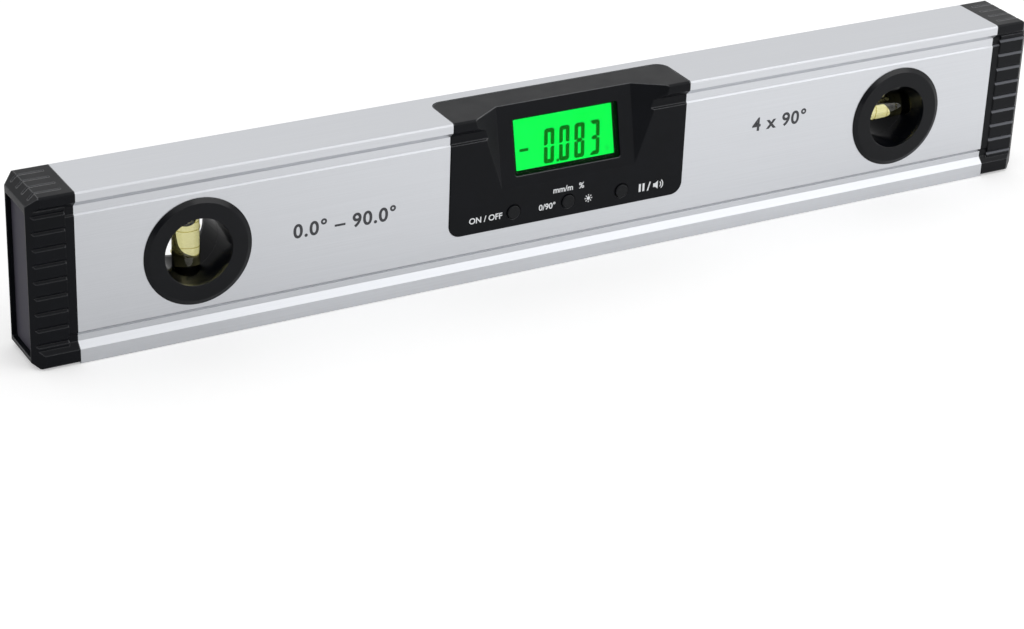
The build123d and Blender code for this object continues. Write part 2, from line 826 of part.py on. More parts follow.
# Battery box: tray, part that fills the rear opening, lip behind the web, rails for the door
with BuildPart() as box:
    with BuildSketch(Plane.YZ):
        with BuildLine():
            Polyline(
                (box_front_y, box_low),
                (web_y, box_low),
                (web_y, box_high),
                (box_front_y + box_chamfer, box_high),
                (box_front_y, box_high - box_chamfer),
                close=True,
            )
        make_face()
    extrude(amount=box_half, both=True)
    with BuildSketch(Plane.XZ.offset(-web_y)):
        with Locations((0, (flange_low + flange_high) / 2)):
            Rectangle(2 * flange_half, flange_high - flange_low)
    extrude(amount=web_y - room_web_y)
    with BuildSketch(Plane.XZ.offset(-room_web_y)):
        with Locations((0, (flange_low + flange_high) / 2)):
            Rectangle(2 * (flange_half + lip_reach), flange_high - flange_low + 2 * lip_reach)
    extrude(amount=lip_t)
    # rails above and below the door, and a stop at its left end
    with BuildSketch(Plane.YZ.offset(-flange_half)):
        for edge, way in ((flange_high, -1), (flange_low, 1)):
            with BuildLine():
                Polyline(
                    (web_y, edge),
                    (web_y + rail_proud, edge),
                    (web_y + rail_proud, edge + way * flange_margin),
                    (web_y + rail_proud - rail_lip_t, edge + way * flange_margin),
                    (web_y + rail_proud - rail_lip_t, edge + way * rail_web),
                    (web_y, edge + way * rail_web),
                    close=True,
                )
            make_face()
    extrude(amount=2 * flange_half)
    with BuildSketch(Plane.XZ.offset(-web_y)):
        with Locations((-flange_half, (flange_low + flange_high) / 2)):
            Rectangle(
                flange_half - door_half - fit_gap,
                flange_high - flange_low,
                align=(Align.MIN, Align.CENTER),
            )
    extrude(amount=-rail_proud)
    # room for the cells
    with BuildSketch(Plane.YZ):
        with BuildLine():
            Polyline(
                (box_front_y + box_wall, box_low + box_wall),
                (web_y + past, box_low + box_wall),
                (web_y + past, box_high - box_wall),
                (box_front_y + box_chamfer + box_wall, box_high - box_wall),
                (box_front_y + box_wall, box_high - box_chamfer - box_wall),
                close=True,
            )
        make_face()
    extrude(amount=box_half - box_wall, both=True, mode=Mode.SUBTRACT)
    # slots for the tails of the two contacts at the right end
    with BuildSketch(Plane.XZ.offset(-box_front_y - box_wall - past)):
        with Locations(
            (contact_x + contact_t / 2, cell_low_z),
            (contact_x + contact_t / 2, tail_high_z),
        ):
            Rectangle(contact_t, tail_w + 2 * seat_gap)
    extrude(amount=box_wall + 2 * past, mode=Mode.SUBTRACT)

# Door that slides off towards +X
with BuildPart() as door:
    with BuildSketch(Plane.XZ.offset(-door_y)):
        with Locations((0, (box_low + box_high) / 2)):
            Rectangle(2 * door_half, box_high - box_low - 2 * slide_gap)
    extrude(amount=-door_t)
    with BuildSketch(Plane.XZ.offset(-door_y)):
        with Locations((0, (box_low + box_high) / 2)):
            Rectangle(2 * door_half, box_high - box_low + 2 * tongue_reach)
    extrude(amount=-tongue_t)
    with BuildSketch(Plane.XZ.offset(-door_y - door_t)):
        with Locations((door_half - grip_edge, (box_low + box_high) / 2)):
            with GridLocations(grip_pitch, grip_h, grip_count, 1):
                Rectangle(grip_w, grip_h)
    extrude(amount=grip_depth, mode=Mode.SUBTRACT)

# Cells, lying one above the other with opposite polarity
with BuildPart() as cell:
    with BuildSketch(Plane.YZ):
        Circle(cell_d / 2)
    extrude(amount=cell_len - cell_nub_h)
    fillet(cell.edges(), radius=cell_edge_r)
    with BuildSketch(Plane.YZ.offset(cell_len - cell_nub_h)):
        Circle(cell_nub_r)
    extrude(amount=cell_nub_h)

with BuildPart() as cell_high:
    with Locations((contact_x - cell_len, cell_y, cell_high_z)):
        add(cell.part)

with BuildPart() as cell_low:
    with Locations(Location((-contact_x + cell_len, cell_y, cell_low_z), (0, 0, 180))):
        add(cell.part)

# Contacts: a bridge at the left end, two plates with tails to the key board at the right end
with BuildPart() as contacts:
    with Locations((-contact_x - contact_t / 2, cell_y, (cell_low_z + cell_high_z) / 2)):
        Box(contact_t, contact_w, cell_pitch + contact_w)
    with Locations(
        (contact_x + contact_t / 2, cell_y, cell_low_z),
        (contact_x + contact_t / 2, cell_y, cell_high_z),
    ):
        Box(contact_t, contact_w, contact_w)
    tail_len = cell_y + key_board_y - board_t
    with Locations(
        (contact_x + contact_t / 2, cell_y, cell_low_z),
        (contact_x + contact_t / 2, cell_y, tail_high_z),
    ):
        Box(contact_t, tail_len, tail_w, align=(Align.CENTER, Align.MAX, Align.CENTER))
    for side, z in ((-1, cell_high_z), (1, cell_low_z)):
        with BuildSketch(Plane.XY.offset(z - leaf_w / 2)):
            for inset, mode in ((0.0, Mode.ADD), (contact_t, Mode.SUBTRACT)):
                with BuildLine():
                    Polyline(
                        (side * contact_x, cell_y - contact_w / 2 + 2 * inset),
                        (side * (contact_x - leaf_reach + inset), cell_y - leaf_flat / 2 + inset / 2),
                        (side * (contact_x - leaf_reach + inset), cell_y + leaf_flat / 2 - inset / 2),
                        (side * contact_x, cell_y + contact_w / 2 - 2 * inset),
                        close=True,
                    )
                make_face(mode=mode)
        extrude(amount=leaf_w)

# Magnets in the base
with BuildPart() as magnets:
    with Locations((-magnet_x, 0, 0), (magnet_x, 0, 0)):
        Box(magnet_len, magnet_w, magnet_t, align=(Align.CENTER, Align.CENTER, Align.MIN))

# Vial units: two bezel halves that meet in the middle plane, and the sealed vial between them
for name, x, along in (("plumb", -vial_x, Axis.Z), ("level", vial_x, Axis.X)):
    centre = Vector(x, 0, vial_z)
    cross = Plane(origin=centre, x_dir=(0, 1, 0), z_dir=along.direction)

    for place, side in (("front", 1), ("rear", -1)):
        with BuildPart() as bezel:
            with BuildSketch(Plane.XZ):
                with Locations((x, vial_z)):
                    Circle(barrel_r)
            extrude(amount=side * web_y)
            with BuildSketch(Plane.XZ.offset(side * web_y)):
                with Locations((x, vial_z)):
                    Circle(bezel_r)
            extrude(amount=side * bezel_t)
            face = bezel.faces().sort_by(Axis.Y)[0 if side > 0 else -1]
            chamfer(face.edges(), length=bezel_slope_w, length2=bezel_slope_t, reference=face)
            # bore, narrowing from the front to the rear
            with Locations((x, 0, vial_z)):
                Cone(bore_r, rear_bore_r, 2 * bezel_y, rotation=(-90, 0, 0), mode=Mode.SUBTRACT)
            with BuildSketch(cross):
                Circle(vial_r + seat_gap)
            extrude(amount=vial_len / 2 + seat_gap, both=True, mode=Mode.SUBTRACT)
        save(bezel.part, f"{name}_bezel_{place}")

    room = barrel(centre, along.direction, 0)
    fill = barrel(centre, along.direction, liquid_gap)

    with BuildPart() as vial:
        with BuildSketch(cross):
            Circle(vial_r)
        extrude(amount=vial_len / 2, both=True)
        fillet(vial.edges(), radius=vial_edge_r)
        add(room, mode=Mode.SUBTRACT)
        with BuildSketch(cross.offset(-vial_len / 2 - past)):
            Circle(vial_room_end_r)
        extrude(amount=vial_end_wall + 2 * past, mode=Mode.SUBTRACT)
    save(vial.part, f"{name}_vial")

    with BuildPart() as plug:
        with BuildSketch(cross.offset(-vial_len / 2)):
            Circle(vial_room_end_r)
        extrude(amount=vial_end_wall)
    save(plug.part, f"{name}_plug")

    with BuildPart() as rings:
        for ring_middle in (-ring_at, ring_at):
            with BuildSketch(cross.offset(ring_middle - ring_w / 2)):
                Circle(vial_r + ring_gap + ring_t)
                Circle(vial_r + ring_gap, mode=Mode.SUBTRACT)
            extrude(amount=ring_w)
    save(rings.part, f"{name}_rings")

    # the bubble and the way it moves in the liquid
    if name == "level":
        bubble_r = level_bubble_r
        bubble_len = level_bubble_len
        at = centre + Vector(0, 0, level_bubble_up)
        reach_low = level_bubble_len / 2 + level_travel + bubble_gap
        reach_high = reach_low
        swell = level_swell
    else:
        bubble_r = plumb_bubble_r
        bubble_len = plumb_bubble_len
        at = centre + Vector(0, 0, room_len / 2 - bubble_gap - plumb_bubble_len / 2)
        reach_low = plumb_bubble_len / 2 + plumb_travel + bubble_gap
        reach_high = plumb_bubble_len / 2 + bubble_gap
        swell = bubble_gap
    middle = Plane(origin=at, x_dir=(0, 1, 0), z_dir=along.direction)

    with BuildPart() as bubble:
        with BuildSketch(middle.offset(-bubble_len / 2)):
            Circle(bubble_r)
        extrude(amount=bubble_len)
        fillet(bubble.edges().filter_by(GeomType.CIRCLE), radius=bubble_r * bubble_end)
    save(bubble.part, f"{name}_bubble")

    with BuildPart() as liquid:
        add(fill)
        with BuildSketch(middle.offset(-reach_low)):
            Circle(bubble_r + swell)
        extrude(amount=reach_low + reach_high, mode=Mode.SUBTRACT)
    save(liquid.part, f"{name}_liquid")

for built, name in (
    (profile, "profile"),
    (cap, "end_cap_right"),
    (cap_mirrored, "end_cap_left"),
    (end_pad, "end_pad_right"),
    (end_pad_mirrored, "end_pad_left"),
    (housing, "display_housing"),
    (window, "display_window"),
    (lcd, "lcd_glass"),
    (strip, "lcd_connector"),
    (guide, "light_guide"),
    (leds, "backlight_leds"),
    (board, "main_board"),
    (chip, "main_chip"),
    (sensor, "tilt_sensor"),
    (buzzer, "buzzer"),
    (key_board, "key_board"),
    (switches, "key_switches"),
    (ribbon, "board_link"),
    (key_left, "button_left"),
    (key, "button_middle"),
    (key_right, "button_right"),
    (small_screws, "board_screws"),
    (long_screws, "housing_screws"),
    (box, "battery_box"),
    (door, "battery_door"),
    (cell_high, "battery_cell_upper"),
    (cell_low, "battery_cell_lower"),
    (contacts, "battery_contacts"),
    (magnets, "base_magnets"),
):
    save(built.part, name)
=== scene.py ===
"""Looks of a digital spirit level: finishes, lit display, print, filled vials, studio and camera.

Lengths are millimetres, turned into metres by MM where a mesh is made. X runs along the level, the display
faces -Y and Z is up.
"""

import math

import bmesh
import bpy
from mathutils import Matrix, Vector


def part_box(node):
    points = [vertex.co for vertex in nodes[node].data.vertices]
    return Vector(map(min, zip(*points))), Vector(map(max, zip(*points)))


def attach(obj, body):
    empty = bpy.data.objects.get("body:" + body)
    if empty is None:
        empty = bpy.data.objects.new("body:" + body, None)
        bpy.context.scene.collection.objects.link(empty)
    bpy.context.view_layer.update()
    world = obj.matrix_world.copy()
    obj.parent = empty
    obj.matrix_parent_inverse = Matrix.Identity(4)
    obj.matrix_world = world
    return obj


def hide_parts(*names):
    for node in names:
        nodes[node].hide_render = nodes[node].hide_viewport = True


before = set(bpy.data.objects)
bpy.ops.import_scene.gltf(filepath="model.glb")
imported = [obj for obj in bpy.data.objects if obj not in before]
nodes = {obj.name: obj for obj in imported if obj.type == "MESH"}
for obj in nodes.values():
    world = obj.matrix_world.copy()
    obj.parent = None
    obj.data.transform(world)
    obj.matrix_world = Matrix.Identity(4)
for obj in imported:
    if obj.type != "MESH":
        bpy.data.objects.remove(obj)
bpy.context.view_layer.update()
scene = bpy.context.scene

MM = 0.001

# Camera, fitted to the photograph
IMAGE_WIDTH_PX = 1024
FOCAL_PX = 2816.8
SENSOR_WIDTH = 36.0
CAMERA_AZIMUTH = -29.755
CAMERA_ELEVATION = 26.957
CAMERA_ROLL = 2.336
CAMERA_DISTANCE = 1003.5
LEVEL_MIDDLE = Vector((0, 0, 31.0))
LEVEL_RIGHT_OF_AXIS = 14.77
LEVEL_ABOVE_AXIS = 51.36
NEAREST_SEEN = 10.0
FARTHEST_SEEN = 50000.0

# Display
PANEL_TILT = 12.7
WINDOW_T = 0.9
WINDOW_TO_GLASS = 0.1
LIT_X = -0.1
LIT_UP = 0.4
LIT_W = 39.6
LIT_H = 18.2
LIT_CORNER_R = 0.3
FILM_T = 0.02
SEGMENT_LIFT = 0.03
SEGMENT_T = 0.02
DIGIT_W = 4.1
DIGIT_H = 12.4
DIGIT_STROKE = 1.45
DIGIT_CUT = 0.7  # cut across the outer corners
DIGIT_NOTCH = DIGIT_STROKE / 3  # cut across the inner corners at the waist
DIGIT_GAP = 0.06  # between the uprights and the bar across the waist
DIGIT_WAIST = 0.3  # from the middle to the ends of the uprights
DIGIT_SLANT = 0.09
DIGIT_FOOT = -8.0
DIGIT_PITCH = 6.15
FIRST_DIGIT_X = -6.3
POINT_SIZE = 0.95
MINUS_X = -16.4
MINUS_UP = -1.7
MINUS_W = 3.5
MINUS_H = 1.0
UNIT_X = 17.0
UNIT_UP = -6.4
UNIT_H = 1.5
READING = "0083"
SEGMENTS_LIT = {"0": "abcdef", "3": "abcdg", "8": "abcdefg"}

# Print beside the keys
INK_T = 0.02
CAP_SHARE = 0.729  # height of a capital as a share of the font's size
KEY_PROUD = 0.6
LEGEND_H = 2.3
LEGEND_WEIGHT = 0.06
LOWER_ROW = -0.4  # height of the rows above the middle of the keys
UPPER_ROW = 5.3
# name, words, the key that it belongs to, how far to the right of it, row
LEGENDS = (
    ("legend_on_off", "ON / OFF", "left", -11.1, LOWER_ROW),
    ("legend_slope", "mm/m", "middle", -2.2, UPPER_ROW),
    ("legend_percent", "%", "middle", 5.3, UPPER_ROW),
    ("legend_zero", "0/90°", "middle", -8.4, LOWER_ROW),
)
LAMP_SIGN_RIGHT = 8.4  # of the middle key
LAMP_SIGN_SCALE = 1.1
SOUND_SIGN_RIGHT = 13.2  # of the right key
SOUND_SIGN_SCALE = 1.4

# Print on the web
BEZEL_T = 1.0
RAIL_PRINT_H = 5.2
RAIL_PRINT_WEIGHT = 0.18
RAIL_PRINT_SPREAD = 1.12
# name, words, X, how far above the middle of the vials
RAIL_PRINTS = (
    ("rail_print_left", "0.0° – 90.0°", -87.3, 0.4),
    ("rail_print_right", "4 x 90°", 88.6, 7.6),
)

# Vials
VIAL_EDGE_R = 0.6
SPIRIT_END_SHARE = 3.6 / 3.8  # radius of the spirit at its ends as a share of that at its middle
LATHE_STEPS = 96
ARC_STEPS = 8

# Battery door
ARROW_W = 5.0
ARROW_H = 6.0
ARROW_T = 0.08

# Patterns in the finishes
NOISE_LOW = 0.3  # most of a smooth noise lies between these two
NOISE_HIGH = 0.7
SPECKLE_LOW = 0.35  # the same for a fine one
SPECKLE_HIGH = 0.65
MOULDED_SPREAD = 0.04  # of the roughness, to each side
SPECKLED_SPREAD = 0.08
WAVE_RADIANS = 20  # turn of a wave pattern over one unit of its scaled space

# Moulded pieces
ABS_TONES = ("#06080C", "#090B10")
UPWARD_FROM = 0.3  # rise of the surface's normal where it begins to count as facing up
UPWARD_TO = 0.6
RUBBED_TURN = 0.92  # cosine of the turn of a rounded edge's normal where it is fully rubbed and takes the full painted highlight
RUBBED_GLOSS = 1.0
# painted highlight: the grey that the upper edges take in their base colour
EDGE_HIGHLIGHT_TONE = "#3A3C41"
# painted highlight on the upward flanks of the right cap's ribs
RIB_HIGHLIGHT_TONE = "#64666C"
RIB_HIGHLIGHT_MIDDLE = 33.0  # height of the middle of the ribs
RIB_HIGHLIGHT_REACH = 25.0  # above and below it
SLOPE_GLOSS = 0.5
BORE_GLOSS = 0.045
BORE_Y = 10.4  # how far from the middle a bezel's bore ends and its face begins
BORE_BLEND = 0.5

# Studio
FLOOR_SIZE = 8000.0
FLOOR_DROP = 0.1  # below the base, so that the two faces don't share a plane
FLOOR_GLOW = 0.345
MIRRORED_GLOW = (0.16, 0.385)  # floor in front of the left end and of the middle
MIRRORED_FROM = -190.0
MIRRORED_TO = -10.0
SHADOW_GLOW = 0.65  # share of it left on the floor beside the level
SHADOW_FROM = 12.5
SHADOW_TO = 37.5
AMBIENT = 0.85
DIM_SIDE = Vector((-0.5, -0.866, 0.0))  # the unlit room behind the camera
DIM_FROM = 0.8
DIM_TO = 0.95
DIM_LEVEL = 0.25
# name, place, width, height, power in watts
SOFT_BOXES = (
    ("key_soft_box", (850, -660, 1220), 1100, 500, 2.2),
    ("front_soft_box", (740, -1260, 475), 1000, 420, 1.5),
    ("side_soft_box", (1000, -120, 260), 400, 400, 1.0),
)


def linear(colour):
    """Linear RGBA of an sRGB hex colour."""
    parts = [int(colour[i : i + 2], 16) / 255 for i in (1, 3, 5)]
    return [c / 12.92 if c <= 0.04045 else ((c + 0.055) / 1.055) ** 2.4 for c in parts] + [1.0]


def add_node(tree, kind, values=None, links=None, stops=None, **settings):
    """Adds a shader node with its settings, socket values, links and colour stops."""
    made = tree.nodes.new("ShaderNode" + kind)
    for name, value in settings.items():
        setattr(made, name, value)
    for socket, value in (values or {}).items():
        made.inputs[socket].default_value = value
    for socket, source in (links or {}).items():
        tree.links.new(source, made.inputs[socket])
    for index, (position, colour) in enumerate(stops or ()):
        ramp = made.color_ramp.elements
        element = ramp[index] if index < len(ramp) else ramp.new(position)
        element.position = position
        element.color = linear(colour)
    return made


def new_finish(name, **values):
    """A material, its node tree and its main shader, with the values that are the same all over."""
    made = bpy.data.materials.new(name)
    made.use_nodes = True
    shader = made.node_tree.nodes["Principled BSDF"]
    for socket, value in values.items():
        shader.inputs[socket.replace("_", " ")].default_value = value
    return made, made.node_tree, shader


def anodised_aluminium():
    """Extruded aluminium, etched and clear anodised: cool satin grey with fine lines along the draw."""
    made, tree, shader = new_finish("anodised_aluminium", Metallic=1.0)
    line_width = 0.35  # real lines are nearer 0.05 mm; drawn this coarse to show
    line_length = 60.0
    line_share = 0.5  # depth of the lines beside that of the etch
    etch_grain = 0.5  # real etch is finer; drawn this coarse to show
    etch_depth = 0.015
    place = add_node(tree, "TexCoord").outputs["Object"]
    drawn = add_node(tree, "Mapping", {"Scale": (line_width / line_length, 1, 1)}, {"Vector": place})
    lines = add_node(
        tree,
        "TexNoise",
        {"Scale": 1 / (line_width * MM), "Detail": 3.0},
        {"Vector": drawn.outputs["Vector"]},
    )
    etch = add_node(tree, "TexNoise", {"Scale": 1 / (etch_grain * MM), "Detail": 2.0}, {"Vector": place})
    tone = add_node(
        tree,
        "ValToRGB",
        links={"Fac": lines.outputs["Fac"]},
        stops=((NOISE_LOW, "#C9CBCF"), (NOISE_HIGH, "#CED0D4")),
    )
    satin = add_node(
        tree,
        "MapRange",
        {"From Min": NOISE_LOW, "From Max": NOISE_HIGH, "To Min": 0.35, "To Max": 0.4},
        {"Value": lines.outputs["Fac"]},
    )
    relief = add_node(
        tree,
        "Math",
        {1: line_share},
        {0: lines.outputs["Fac"], 2: etch.outputs["Fac"]},
        operation="MULTIPLY_ADD",
    )
    bump = add_node(
        tree,
        "Bump",
        {"Strength": 0.1, "Distance": etch_depth * MM},
        {"Height": relief.outputs["Value"]},
    )
    tree.links.new(tone.outputs["Color"], shader.inputs["Base Color"])
    tree.links.new(satin.outputs["Result"], shader.inputs["Roughness"])
    tree.links.new(bump.outputs["Normal"], shader.inputs["Normal"])
    return made


def moulded_plastic(name, tones, grain, roughness, specular, edge_round, bezel=False, with_rib_highlight=False):
    """Moulded plastic or rubber with a spark-eroded grain: soft gloss, and upper edges rubbed to a shine
    with a grey painted highlight.

    A bezel isn't rubbed: it is bright on the upper part of its sloping rim and matt in its bore. With a
    rib highlight, the flanks of its ribs that face up are painted pale as a highlight.
    """
    made, tree, shader = new_finish(name, IOR=1.53)
    flow_size = 9.0
    pit_depth = 0.03
    dark, pale = tones
    place = add_node(tree, "TexCoord").outputs["Object"]
    pits = add_node(tree, "TexNoise", {"Scale": 1 / (grain * MM), "Detail": 3.0}, {"Vector": place})
    flow = add_node(tree, "TexNoise", {"Scale": 1 / (flow_size * MM), "Detail": 2.0}, {"Vector": place})
    tone = add_node(
        tree,
        "ValToRGB",
        links={"Fac": flow.outputs["Fac"]},
        stops=((NOISE_LOW, dark), (NOISE_HIGH, pale)),
    )
    gloss = add_node(
        tree,
        "MapRange",
        {
            "From Min": NOISE_LOW,
            "From Max": NOISE_HIGH,
            "To Min": roughness - MOULDED_SPREAD,
            "To Max": roughness + MOULDED_SPREAD,
        },
        {"Value": flow.outputs["Fac"]},
    )
    edges = add_node(tree, "Bevel", {"Radius": edge_round * MM}, samples=6).outputs["Normal"]
    rise = add_node(tree, "SeparateXYZ", links={"Vector": edges}).outputs["Z"]
    facing_up = add_node(
        tree,
        "MapRange",
        {"From Min": UPWARD_FROM, "From Max": UPWARD_TO},
        {"Value": rise},
    )
    upper = facing_up.outputs["Result"]
    if bezel:
        depth = add_node(tree, "SeparateXYZ", links={"Vector": place}).outputs["Y"]
        out = add_node(tree, "Math", links={0: depth}, operation="ABSOLUTE").outputs["Value"]
        face = add_node(tree, "MapRange", {"To Min": specular, "To Max": SLOPE_GLOSS}, {"Value": upper})
        shine = add_node(
            tree,
            "MapRange",
            {"From Min": BORE_Y * MM, "From Max": (BORE_Y + BORE_BLEND) * MM, "To Min": BORE_GLOSS},
            {"Value": out, "To Max": face.outputs["Result"]},
        )
    else:
        flat = add_node(tree, "NewGeometry").outputs["Normal"]
        flatness = add_node(tree, "VectorMath", links={0: edges, 1: flat}, operation="DOT_PRODUCT")
        rubbed_and_highlit = add_node(
            tree,
            "MapRange",
            {"From Min": 1.0, "From Max": RUBBED_TURN, "To Min": 0.0},
            {"Value": flatness.outputs["Value"], "To Max": upper},
        )
        shine = add_node(
            tree,
            "MapRange",
            {"To Min": specular, "To Max": RUBBED_GLOSS},
            {"Value": rubbed_and_highlit.outputs["Result"]},
        )
        # painted highlight: grey mixed into the colour along the upper edges
        tone = add_node(
            tree,
            "MixRGB",
            {"Color2": linear(EDGE_HIGHLIGHT_TONE)},
            {"Fac": rubbed_and_highlit.outputs["Result"], "Color1": tone.outputs["Color"]},
        )
    if with_rib_highlight:
        # painted highlight: the upward-facing flanks of the ribs made pale
        height = add_node(tree, "SeparateXYZ", links={"Vector": place}).outputs["Z"]
        ribbed = add_node(
            tree,
            "Math",
            {1: RIB_HIGHLIGHT_MIDDLE * MM, 2: RIB_HIGHLIGHT_REACH * MM},
            {0: height},
            operation="COMPARE",
        )
        rib_highlight_mask = add_node(
            tree,
            "Math",
            links={0: ribbed.outputs["Value"], 1: upper},
            operation="MULTIPLY",
        )
        tone = add_node(
            tree,
            "MixRGB",
            {"Color2": linear(RIB_HIGHLIGHT_TONE)},
            {"Fac": rib_highlight_mask.outputs["Value"], "Color1": tone.outputs["Color"]},
        )
    bump = add_node(
        tree,
        "Bump",
        {"Strength": 0.2, "Distance": pit_depth * MM},
        {"Height": pits.outputs["Fac"], "Normal": edges},
    )
    tree.links.new(tone.outputs["Color"], shader.inputs["Base Color"])
    tree.links.new(gloss.outputs["Result"], shader.inputs["Roughness"])
    tree.links.new(shine.outputs["Result"], shader.inputs["Specular IOR Level"])
    tree.links.new(bump.outputs["Normal"], shader.inputs["Normal"])
    return made


def polished_clear(name, tint, ior):
    """Polished acrylic, or a liquid as clear: sharp reflections, a trace of haze and a slight tint."""
    made, tree, shader = new_finish(name, Base_Color=linear(tint), IOR=ior, Transmission_Weight=1.0)
    haze_size = 4.0
    haziest = 0.03
    place = add_node(tree, "TexCoord").outputs["Object"]
    haze = add_node(tree, "TexNoise", {"Scale": 1 / (haze_size * MM)}, {"Vector": place})
    polish = add_node(tree, "MapRange", {"To Min": 0.0, "To Max": haziest}, {"Value": haze.outputs["Fac"]})
    tree.links.new(polish.outputs["Result"], shader.inputs["Roughness"])
    return made


def backlit_film(name, tones, strength):
    """Display film lit from behind: a glow of its own that varies a little with the lamps behind it."""
    made, tree, shader = new_finish(
        name,
        Base_Color=linear("#020302"),
        Roughness=0.5,
        Specular_IOR_Level=0.05,
        Emission_Strength=strength,
    )
    lamp_spread = 12.0
    dark, pale = tones
    place = add_node(tree, "TexCoord").outputs["Object"]
    glow = add_node(tree, "TexNoise", {"Scale": 1 / (lamp_spread * MM), "Detail": 0.0}, {"Vector": place})
    tone = add_node(
        tree,
        "ValToRGB",
        links={"Fac": glow.outputs["Fac"]},
        stops=((NOISE_LOW, dark), (NOISE_HIGH, pale)),
    )
    tree.links.new(tone.outputs["Color"], shader.inputs["Emission Color"])
    return made


def speckled(name, tones, grain, roughness, metallic=0.0):
    """Ink, plating, resin or film with a fine uneven tone and gloss."""
    made, tree, shader = new_finish(name, Metallic=metallic)
    grain_depth = 0.02
    dark, pale = tones
    place = add_node(tree, "TexCoord").outputs["Object"]
    grains = add_node(tree, "TexNoise", {"Scale": 1 / (grain * MM), "Detail": 3.0}, {"Vector": place})
    tone = add_node(
        tree,
        "ValToRGB",
        links={"Fac": grains.outputs["Fac"]},
        stops=((SPECKLE_LOW, dark), (SPECKLE_HIGH, pale)),
    )
    gloss = add_node(
        tree,
        "MapRange",
        {"To Min": roughness - SPECKLED_SPREAD, "To Max": roughness + SPECKLED_SPREAD},
        {"Value": grains.outputs["Fac"]},
    )
    bump = add_node(
        tree,
        "Bump",
        {"Strength": 0.1, "Distance": grain_depth * MM},
        {"Height": grains.outputs["Fac"]},
    )
    tree.links.new(tone.outputs["Color"], shader.inputs["Base Color"])
    tree.links.new(gloss.outputs["Result"], shader.inputs["Roughness"])
    tree.links.new(bump.outputs["Normal"], shader.inputs["Normal"])
    return made


def printed_sleeve(cell, plus_at_right):
    """Shrunk and printed film sleeve of a cell: dark blue, a pale line and copper towards the plus end."""
    made, tree, shader = new_finish(f"printed_sleeve_of_{cell}", Roughness=0.28)
    wrinkle_size = 1.5
    wrinkle_depth = 0.03
    low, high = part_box(cell)
    minus, plus = (low.x, high.x) if plus_at_right else (high.x, low.x)
    place = add_node(tree, "TexCoord").outputs["Object"]
    along = add_node(tree, "SeparateXYZ", links={"Vector": place})
    share = add_node(
        tree,
        "MapRange",
        {"From Min": minus, "From Max": plus},
        {"Value": along.outputs["X"]},
    )
    bands = add_node(
        tree,
        "ValToRGB",
        links={"Fac": share.outputs["Result"]},
        stops=(
            (0.0, "#9A9B9D"),  # bare steel at the minus end
            (0.03, "#17304E"),
            (0.66, "#C9CBCE"),
            (0.68, "#A8622C"),
            (0.97, "#9A9B9D"),  # and at the plus end
        ),
    )
    bands.color_ramp.interpolation = "CONSTANT"
    wrinkles = add_node(
        tree,
        "TexNoise",
        {"Scale": 1 / (wrinkle_size * MM), "Detail": 2.0},
        {"Vector": place},
    )
    bump = add_node(
        tree,
        "Bump",
        {"Strength": 0.1, "Distance": wrinkle_depth * MM},
        {"Height": wrinkles.outputs["Fac"]},
    )
    tree.links.new(bands.outputs["Color"], shader.inputs["Base Color"])
    tree.links.new(bump.outputs["Normal"], shader.inputs["Normal"])
    return made


def solder_mask():
    """Green solder mask over etched copper tracks: glossy, with paler lines where the tracks lie."""
    made, tree, shader = new_finish("green_solder_mask", Roughness=0.32)
    track_pitch = 2.5
    track_depth = 0.035
    place = add_node(tree, "TexCoord").outputs["Object"]
    tracks = add_node(
        tree,
        "TexWave",
        {"Scale": 2 * math.pi / (WAVE_RADIANS * track_pitch * MM), "Distortion": 2.0, "Detail": 0.0},
        {"Vector": place},
        bands_direction="X",
    )
    tone = add_node(
        tree,
        "ValToRGB",
        links={"Fac": tracks.outputs["Fac"]},
        stops=((0.6, "#0B3D1F"), (0.75, "#17602F")),
    )
    bump = add_node(
        tree,
        "Bump",
        {"Strength": 0.3, "Distance": track_depth * MM},
        {"Height": tracks.outputs["Fac"]},
    )
    tree.links.new(tone.outputs["Color"], shader.inputs["Base Color"])
    tree.links.new(bump.outputs["Normal"], shader.inputs["Normal"])
    return made


aluminium = anodised_aluminium()
# moulded ABS: black with a dull sheen; its upper edges are rubbed to a shine and carry a grey painted
# highlight
black_abs = moulded_plastic(
    "moulded_black_abs", ABS_TONES, grain=0.4, roughness=0.36, specular=0.105, edge_round=0.6
)
# the same with a painted highlight on the upward flanks of its ribs, which show as pale lines
rib_highlit_abs = moulded_plastic(
    "black_abs_with_painted_rib_highlight", ABS_TONES, grain=0.4, roughness=0.36, specular=0.13, edge_round=0.6, with_rib_highlight=True
)
# the same with a smoother skin, which gives the bezels a bright upper rim
bezel_abs = moulded_plastic(
    "smooth_black_abs", ABS_TONES, grain=0.6, roughness=0.17, specular=0.16, edge_round=0.3, bezel=True
)
# silicone rubber: duller than the plastic round it
key_rubber = moulded_plastic(
    "moulded_key_rubber", ("#07090C", "#0A0C11"), grain=0.3, roughness=0.45, specular=0.16, edge_round=0.3
)
# soft rubber of the end pads: a dull purplish grey, made this pale as a painted sheen on the end faces
pad_rubber_and_sheen = moulded_plastic(
    "moulded_pad_rubber_and_painted_sheen", ("#37353E", "#3D3B45"), grain=0.5, roughness=0.6, specular=0.2, edge_round=0.2
)
# window coated against glare, so it reflects less than bare acrylic, as a lower index does
window_acrylic = polished_clear("coated_window_acrylic", "#F7FBF7", ior=1.08)
# liquid-crystal display: bright green ground, dark green segments, darker border
lit_film = backlit_film("lit_display_film", ("#00FA4E", "#05FF55"), strength=1.05)
segment_ink = backlit_film("dark_display_segment", ("#007310", "#007C14"), strength=0.9)
unit_ink = backlit_film("pale_display_segment", ("#00B034", "#00B838"), strength=0.9)
border_film = backlit_film("display_border_film", ("#011A05", "#012207"), strength=0.7)
